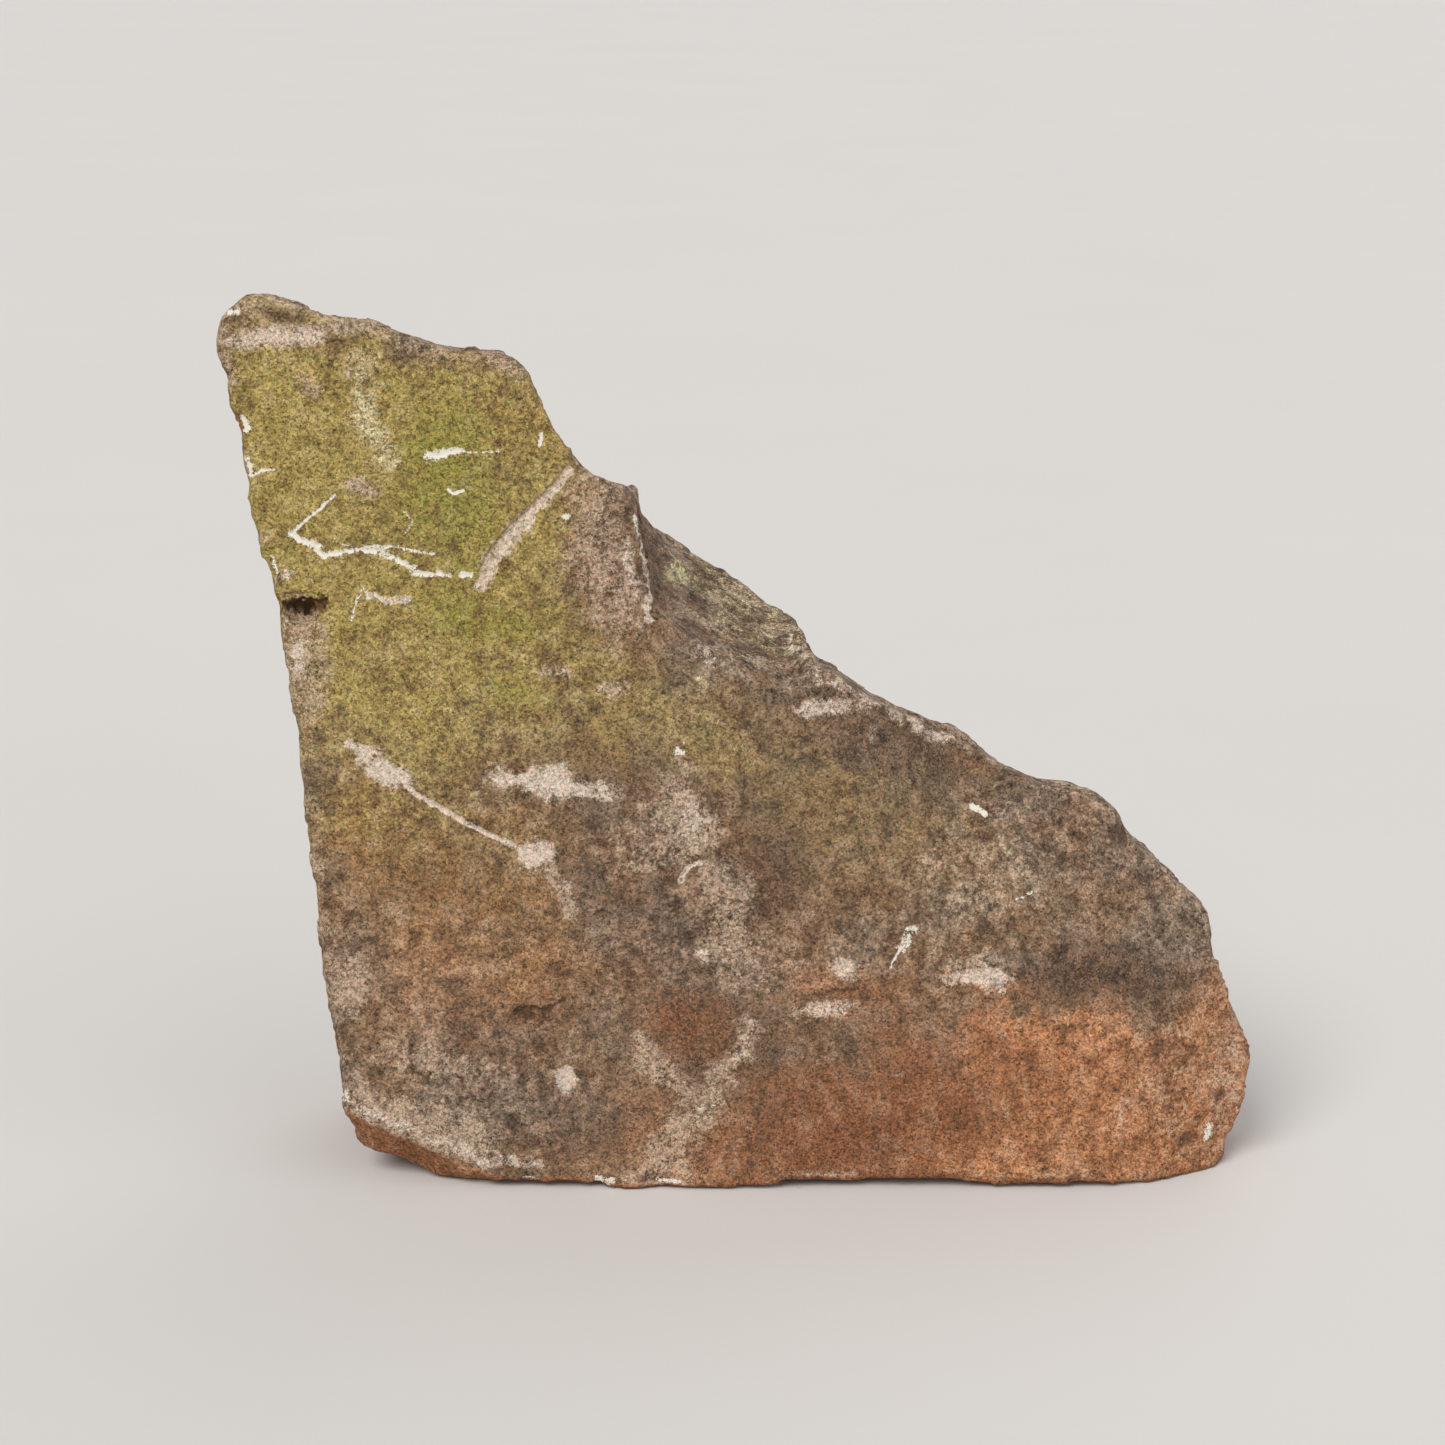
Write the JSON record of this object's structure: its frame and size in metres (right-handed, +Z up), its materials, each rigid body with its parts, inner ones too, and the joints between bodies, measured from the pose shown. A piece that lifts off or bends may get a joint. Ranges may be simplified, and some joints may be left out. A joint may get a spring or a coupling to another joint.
{
  "type": "granite slab",
  "caption": "Broken, weathered slab of granite that stands on its lower break, with one flat face, a stepped top and a rounded end.",
  "frame": {"origin": "middle of the bounding box on the level patch that the stone stands on", "axes": "+Z up, -Y out of the flat face, +X across the face towards the low rounded end"},
  "size_m": [0.514, 0.1576, 0.4392],
  "materials": {
    "weathered_stone": "coarse-grained stone, split and weathered, with green algae above, grey lichen on the right shoulder and an iron-brown foot"
  },
  "bodies": {
    "root": {"stone_slab": "weathered_stone"}
  },
  "joints": []
}
